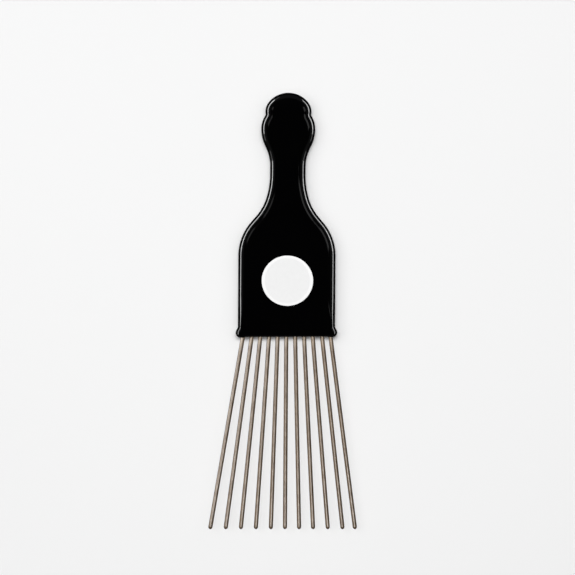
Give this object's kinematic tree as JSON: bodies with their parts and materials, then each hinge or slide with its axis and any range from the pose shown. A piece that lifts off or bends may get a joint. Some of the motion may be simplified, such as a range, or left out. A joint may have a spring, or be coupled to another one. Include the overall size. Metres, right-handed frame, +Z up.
{
  "type": "afro pick",
  "caption": "Flat afro pick: a waisted glossy handle with a knobbed head grips a spreading fan of long round wire tines that lift and comb hair.",
  "frame": {"origin": "under the middle of the whole pick, on the surface that its flat back lies on", "axes": "+Y along the pick from the tips of the tines to the head of the handle, +Z up out of the printed front, +X across it to the right seen from the front"},
  "size_m": [0.0706, 0.2076, 0.01],
  "materials": {
    "handle_plastic": "polished black injection moulding",
    "tine_wire": "drawn wire with a warm nickel tone and rounded tips",
    "print_ink": "white ink, printed on the front as a plain disc"
  },
  "bodies": {
    "root": {"handle": "handle_plastic", "tine_01": "tine_wire", "tine_02": "tine_wire", "tine_03": "tine_wire", "tine_04": "tine_wire", "tine_05": "tine_wire", "tine_06": "tine_wire", "tine_07": "tine_wire", "tine_08": "tine_wire", "tine_09": "tine_wire", "tine_10": "tine_wire", "tine_11": "tine_wire"}
  },
  "joints": []
}
